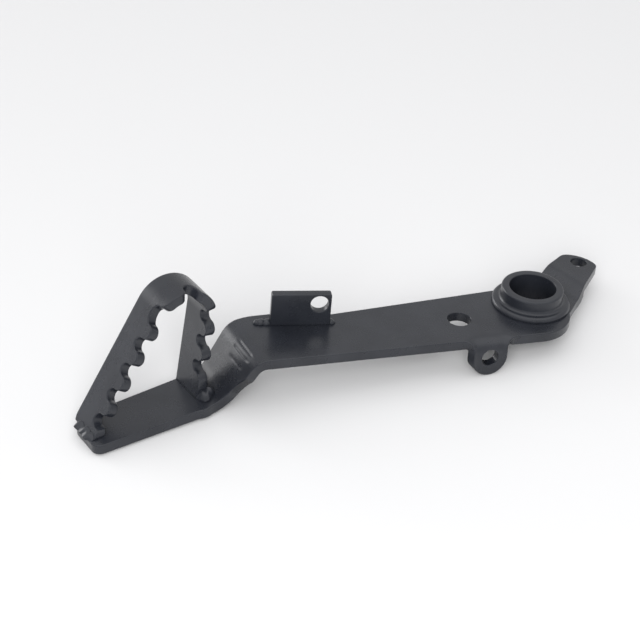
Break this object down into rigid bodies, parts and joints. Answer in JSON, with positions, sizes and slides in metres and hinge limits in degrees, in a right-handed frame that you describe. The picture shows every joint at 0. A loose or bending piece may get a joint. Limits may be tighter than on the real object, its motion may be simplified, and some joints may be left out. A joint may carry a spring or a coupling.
{
  "type": "motorcycle rear brake pedal",
  "caption": "Black painted steel foot brake pedal: a cranked flat lever with a pivot tube, a toothed tread loop on its foot, a drilled tab and a drilled tail.",
  "frame": {"origin": "on the pivot axis, in the plane of the arm's top face", "axes": "+Z along the pivot axis, away from the engine; +X along the arm from the foot to the tail; +Y to the far edge, away from the tread's teeth"},
  "size_m": [0.216, 0.0511, 0.0554],
  "materials": {
    "black_paint": "gloss"
  },
  "bodies": {
    "root": {"lever_plate": "black_paint", "pivot_tube": "black_paint", "tab": "black_paint", "tread_strip": "black_paint", "tread_tip_weld": "black_paint", "tread_heel_weld": "black_paint", "tab_welds": "black_paint"}
  },
  "joints": []
}
